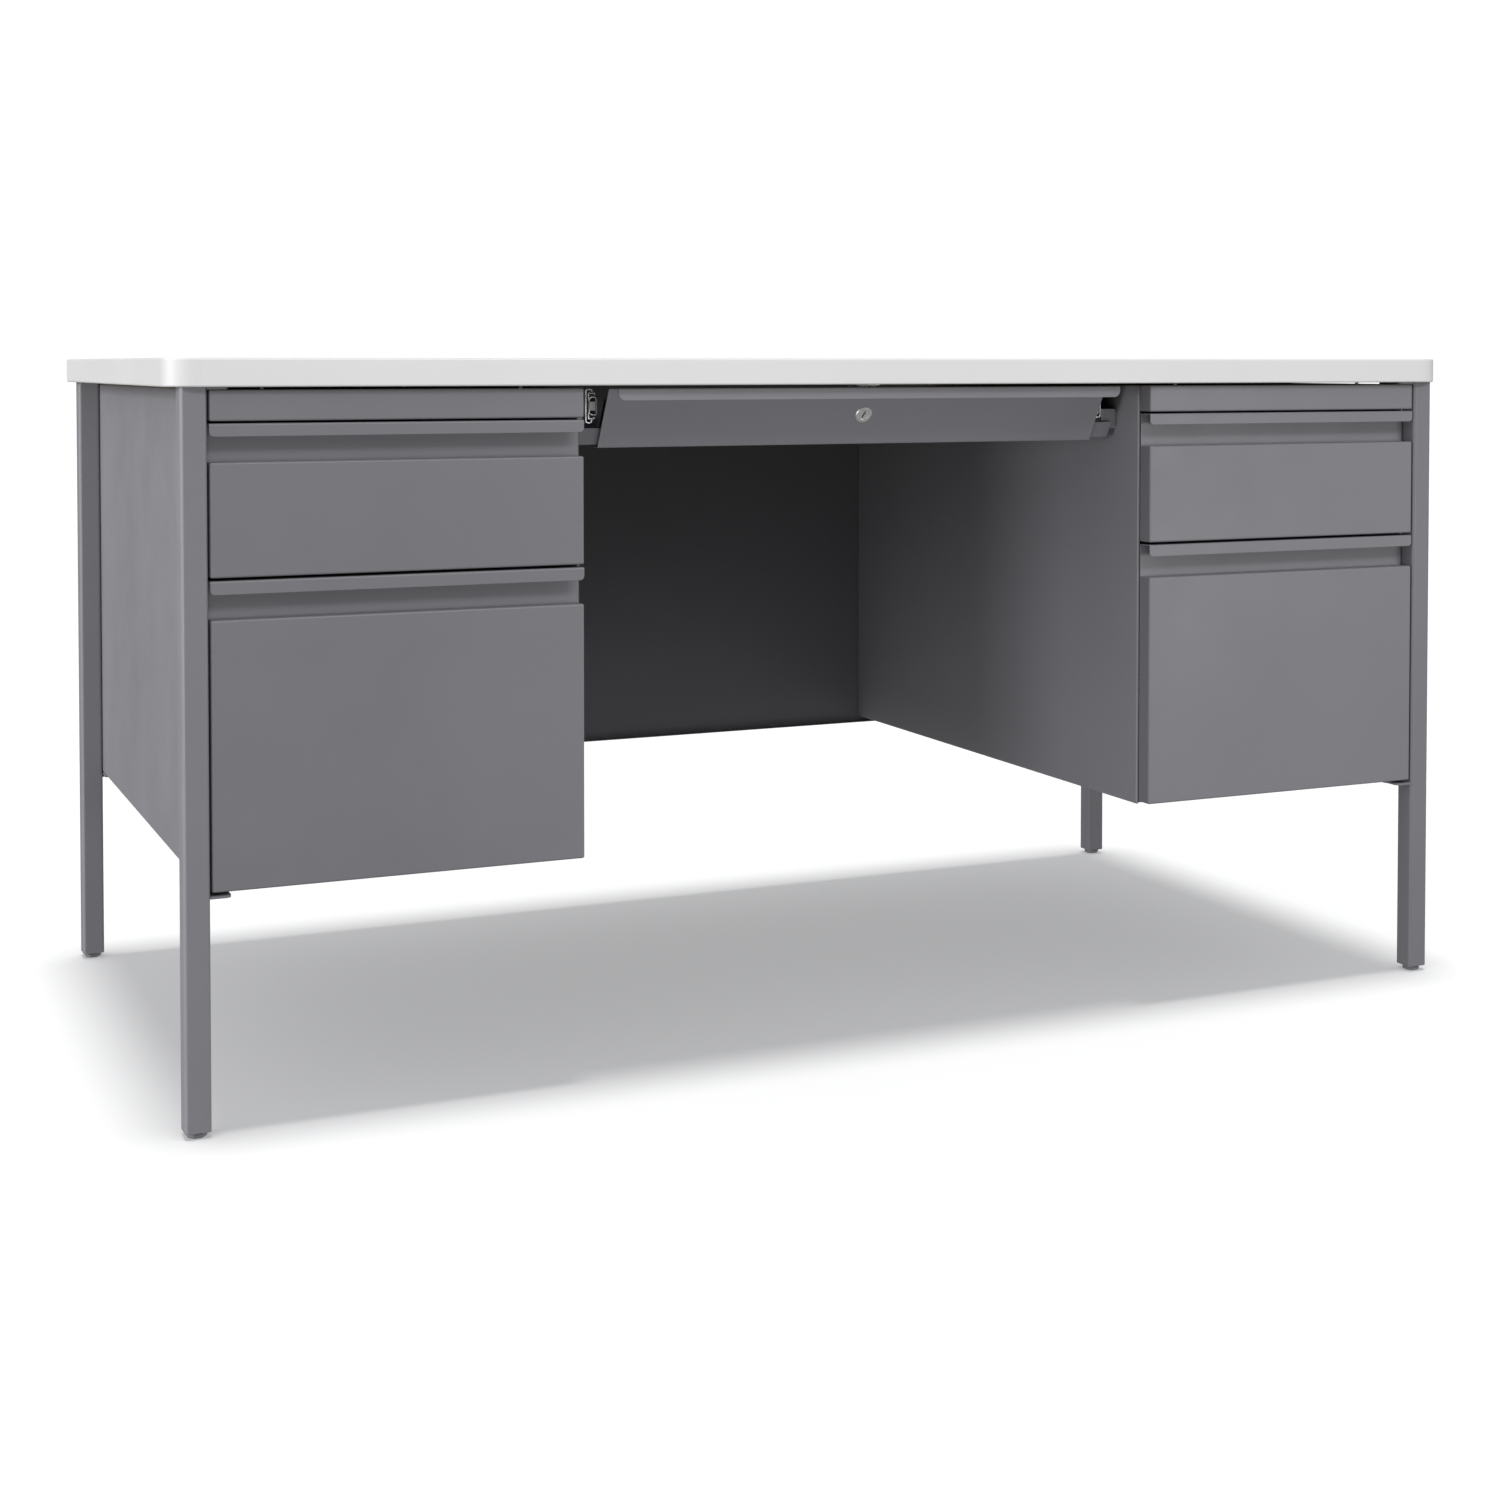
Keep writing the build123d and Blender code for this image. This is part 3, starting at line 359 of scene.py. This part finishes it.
def zinc(name, colour):
    """Dull zinc plate on rolled steel: draw lines along the length, cloudy tone, dull spots, and a
    painted highlight along the edges.
    """
    s = Shader(name)
    lines = s.noise(900, 3.0, 0.6, (1, 0.02, 1))
    cloud = s.remap(s.noise(38, 4.0, 0.6), 0.35, 0.65, 0.0, 1.0)
    tone = s.blend(cloud, shade(colour, 0.86), colour)
    tone = s.blend(s.remap(s.noise(160, 3.0), 0.6, 0.75, 0.0, 0.35), tone, rgb(0.55, 0.52, 0.44))
    rounded, edge = s.soft_edges(0.0002)
    # Painted highlight: the edges are blended towards near-white so that the curled and cut edges read
    # bright.
    tone = s.blend(s.maths("MULTIPLY", edge, 0.35), tone, rgb(0.86, 0.87, 0.88))
    rough = s.remap(s.noise(70, 4.0, 0.6), 0.3, 0.7, 0.42, 0.56)
    drawn = s.relief(lines, 0.00005, 0.25, rounded)
    return s.finish(base_color=tone, metallic=0.8, roughness=rough, normal=drawn)


def nickel(name):
    """Bright nickel plate with fine scratches round the keyway."""
    s = Shader(name)
    scratch = s.noise(1300, 4.0, 0.7, (1, 1, 0.25))
    tone = s.blend(s.remap(scratch, 0.5, 0.7, 0.0, 0.5), rgb(0.86, 0.855, 0.84), rgb(0.74, 0.73, 0.71))
    rounded, _ = s.soft_edges(0.00025)
    rough = s.remap(s.noise(500, 4.0, 0.7), 0.35, 0.65, 0.26, 0.38)
    scratched = s.relief(scratch, 0.00003, 0.3, rounded)
    return s.finish(base_color=tone, metallic=0.9, roughness=rough, normal=scratched)


def moulded(name, colour, gloss):
    """Moulded plastic: fine spark texture and dusty hollows."""
    s = Shader(name)
    dust = s.remap(s.noise(120, 4.0, 0.65), 0.45, 0.7, 0.0, 0.22)
    dusty = shade(colour, 1.5, 0.03)
    rounded, edge = s.soft_edges(0.0003)
    tone = s.blend(s.maths("MAXIMUM", dust, s.maths("MULTIPLY", edge, 0.2)), colour, dusty)
    spark = s.relief(s.noise(1600, 2.0), 0.00005, 0.35, rounded)
    rough = s.remap(s.noise(90, 3.0), 0.3, 0.7, gloss, gloss + 0.12)
    return s.finish(base_color=tone, roughness=rough, normal=spark)


def studio_floor(name):
    """Pale matt floor with a faint glow and a trace of unevenness."""
    s = Shader(name)
    drift = s.remap(s.noise(1.5, 3.0), 0.3, 0.7, 0.0, 1.0)
    tone = s.blend(drift, rgb(0.425, 0.425, 0.425), rgb(0.435, 0.435, 0.435))
    s.surface.inputs["Emission Color"].default_value = rgb(0.98, 0.985, 1.0)
    s.surface.inputs["Emission Strength"].default_value = 0.335
    s.surface.inputs["Specular IOR Level"].default_value = 0.1
    return s.finish(base_color=tone, roughness=0.75, normal=s.relief(s.noise(300, 2.0), 0.0001, 0.1))


def dress(node, material):
    """Gives every slot of a CAD node the same material."""
    shape = frame["nodes"][node].data
    if not shape.materials:
        shape.materials.append(material)
    for index in range(len(shape.materials)):
        shape.materials[index] = material


# Shapes


def smooth_line(points, rounds=3):
    """Cuts the corners of an open line again and again, keeping its ends."""
    line = [Vector(p) for p in points]
    for _ in range(rounds):
        cut = [line[0]]
        for start, end in zip(line, line[1:]):
            cut.append(start.lerp(end, 0.25))
            cut.append(start.lerp(end, 0.75))
        line = cut[:1] + cut[2:-2] + [line[-1]]
    return line


def ribbon_sides(line, gauge):
    """Left and right side of a strip of that thickness along a line."""
    left = []
    right = []
    for index, point in enumerate(line):
        before = line[max(index - 1, 0)]
        after = line[min(index + 1, len(line) - 1)]
        along = (after - before).normalized()
        across = Vector((-along.y, along.x)) * gauge / 2
        left.append(point + across)
        right.append(point - across)
    return left, right


def finish_mesh(name, bm, material, sharp=35):
    bmesh.ops.remove_doubles(bm, verts=bm.verts, dist=1e-7)
    bmesh.ops.recalc_face_normals(bm, faces=bm.faces)
    mesh = bpy.data.meshes.new(name)
    bm.to_mesh(mesh)
    bm.free()
    for polygon in mesh.polygons:
        polygon.use_smooth = True
    mesh.set_sharp_from_angle(angle=math.radians(sharp))
    mesh.materials.append(material)
    piece = bpy.data.objects.new(name, mesh)
    bpy.context.scene.collection.objects.link(piece)
    return piece


def add_strip(bm, line, gauge, place, front, back):
    """Sheet that follows a line in section and runs from front to back. place(u, z) gives (x, z)."""
    left, right = ribbon_sides(line, gauge)
    rings = []
    for y in (front, back):
        ring = []
        for side in (left, right):
            ring.append([bm.verts.new((place(p)[0], y, place(p)[1])) for p in side])
        rings.append(ring)
    for i in range(len(line) - 1):
        for side in (0, 1):
            near, far = rings[0][side], rings[1][side]
            bm.faces.new((near[i], near[i + 1], far[i + 1], far[i]))
        for ring in rings:
            bm.faces.new((ring[0][i], ring[0][i + 1], ring[1][i + 1], ring[1][i]))
    for i in (0, len(line) - 1):
        bm.faces.new((rings[0][0][i], rings[0][1][i], rings[1][1][i], rings[1][0][i]))


def slide_lines(half):
    """Section lines of the three members of a ball-bearing slide, from the wall inwards, in mm."""
    lines = []
    for section in SLIDE_SECTIONS:
        top = [(u, half - down) for u, down in section]
        bottom = [(u, -z) for u, z in reversed(top)]
        lines.append(smooth_line([Vector(p) for p in top + bottom]))
    return lines


def add_ball(bm, place, radius):
    bmesh.ops.create_icosphere(bm, subdivisions=2, radius=radius, matrix=Matrix.Translation(place))


def add_slides(group, finishes):
    """Curled sections for one drawer's two slides, with their balls, cages and front stops."""
    low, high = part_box(f"{group}_slide_outers")
    centre_z = (low.z + high.z) / 2
    half = (high.z - low.z) / 2 / MM
    front, back = low.y, high.y
    walls = ((low.x, 1), (high.x, -1))
    riders = {"outers": "desk_frame", "middles": f"{group}_slides", "inners": f"{group}_drawer"}

    def placer(wall, inward):
        return lambda p: (wall + inward * p.x * MM, centre_z + p.y * MM)

    for member, line in zip(riders, slide_lines(half)):
        node = f"{group}_slide_{member}"
        bm = bmesh.new()
        for wall, inward in walls:
            add_strip(bm, line, SLIDE_SHEET, placer(wall, inward), front, back)
        piece = finish_mesh(f"{node}_rolled", bm, finishes["zinc"])
        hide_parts(node)
        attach(piece, riders[member])

    balls = bmesh.new()
    cages = bmesh.new()
    stops = bmesh.new()
    middle = (front + back) / 2
    rows = (
        (OUTER_BALLS, middle + ROW_INSET, back - ROW_INSET),
        (INNER_BALLS, front + ROW_INSET, middle - ROW_INSET),
    )
    for wall, inward in walls:
        place = placer(wall, inward)
        for (u, down), start, end in rows:
            z = half - down
            for side in (-1, 1):
                x, height = place(Vector((u, side * z)))
                for step in range(BALLS_IN_ROW):
                    y = start + (end - start) * step / (BALLS_IN_ROW - 1)
                    add_ball(balls, (x, y, height), BALL_RADIUS * MM)
                edges = (u - CAGE_HALF_WIDTH, u + CAGE_HALF_WIDTH)
                strip = [Vector((edge, side * z)) for edge in edges]
                add_strip(cages, strip, CAGE_SHEET, place, start - CAGE_PAST_BALL, end + CAGE_PAST_BALL)
        block = [Vector((STOP_MIDDLE, z)) for z in (-STOP_HALF_HEIGHT, STOP_HALF_HEIGHT)]
        add_strip(stops, block, STOP_WIDTH, place, front - STOP_AHEAD, front + STOP_BEHIND)
    small = (("balls", balls, "nickel"), ("cages", cages, "zinc"), ("stops", stops, "stop"))
    for name, bm, finish in small:
        piece = finish_mesh(f"{group}_slide_{name}", bm, finishes[finish])
        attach(piece, riders["middles"])


def add_keyway_shade_wafers(material):
    """Wafers that close the lock's keyway just below its mouth, coloured black as painted shade so the
    keyway reads dark from any direction.
    """
    joint = next(j for j in frame["record"]["behaviour"]["joints"] if j["name"] == "lock_turn")
    centre = Vector(joint["pos_m"])
    outward = Vector(joint["axis"]).normalized()
    right = Vector((1, 0, 0))
    up = outward.cross(right)
    bm = bmesh.new()
    rings = []
    for height in WAFER_HEIGHTS:
        level = centre + outward * height * MM
        rings.append([bm.verts.new(level + (right * u + up * v) * MM) for u, v in KEYWAY])
    for ring in rings:
        bm.faces.new(ring)
    for i, start in enumerate(rings[0]):
        after = (i + 1) % len(KEYWAY)
        bm.faces.new((start, rings[0][after], rings[1][after], rings[1][i]))
    # The black material here is painted shade: it makes the keyway read dark, as the inside of a keyway
    # is in shade.
    piece = finish_mesh("lock_wafers_painted_shade", bm, material)
    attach(piece, "lock")


# The desk

bpy.context.scene.view_settings.view_transform = "Standard"
add_camera()
add_world()

paint = painted_steel("grey_powder_coat", rgb(0.196, 0.195, 0.212), 0.42)
interior = painted_steel("drawer_powder_coat", rgb(0.175, 0.175, 0.188), 0.48)
finishes = {
    "zinc": zinc("zinc_plate", rgb(0.78, 0.79, 0.80)),
    "nickel": nickel("nickel_plate"),
    "stop": moulded("grey_nylon_stop", rgb(0.52, 0.52, 0.51), 0.42),
    "paint": paint,
    "interior_paint": interior,
    "laminate": laminate("white_laminate"),
    "edge": edge_band("white_edge_band"),
    "core": particle_board("particle_board"),
    # Black: the leg inserts' own colour, and painted shade on the lock's wafers inside the keyway.
    "insert": moulded("black_inserts_and_keyway_shade", rgb(0.012, 0.012, 0.013), 0.5),
}
for part in frame["record"]["subparts"]:
    dress(part["node"], finishes[part["material_slot"]])

for hand in HANDS:
    for drawer in DRAWERS:
        add_slides(f"{hand}_{drawer}", finishes)
add_slides("centre", finishes)
add_keyway_shade_wafers(finishes["insert"])

bm = bmesh.new()
bmesh.ops.create_grid(bm, x_segments=1, y_segments=1, size=FLOOR_HALF_SIDE)
floor = finish_mesh("floor", bm, studio_floor("studio_floor"))
floor.visible_diffuse = False
floor.visible_glossy = False

shine_on(add_overhead_sun(), "floor_only", [floor])
desk_parts = [o for o in bpy.context.scene.objects if o.type == "MESH" and o != floor]
band = [o for o in desk_parts if "edge_band" in o.name]
knee_wall = [o for o in desk_parts if o.name == "right_inner_panel"]
panels = [o for o in desk_parts if "panel" in o.name]
raked = [o for o in desk_parts if o.name in ("centre_front", "centre_backing")]
fronts = [o for o in desk_parts if o.name.endswith("_front") or "filler" in o.name]
left_legs = [o for o in desk_parts if o.name in ("leg_front_left", "leg_rear_left")]
receivers = {
    "key_front": [o for o in desk_parts if o not in band],
    "key_left": [o for o in desk_parts if o not in knee_wall],
    "fill_left": [o for o in desk_parts if o not in band + fronts + knee_wall + left_legs],
    "fill_legs": left_legs,
    "fill_fronts": fronts,
    "fill_low": [o for o in desk_parts if o not in band + panels + raked],
    "knee_side": knee_wall,
    "knee_low": knee_wall,
    "bounce": [o for o in desk_parts if "lock" in o.name or "slide" in o.name] + raked,
    "band_wide": band,
}
for name, place, target, width, height, power in SOFTBOXES:
    shine_on(add_softbox(name, place, target, width, height, power), f"lit_by_{name}", receivers[name])
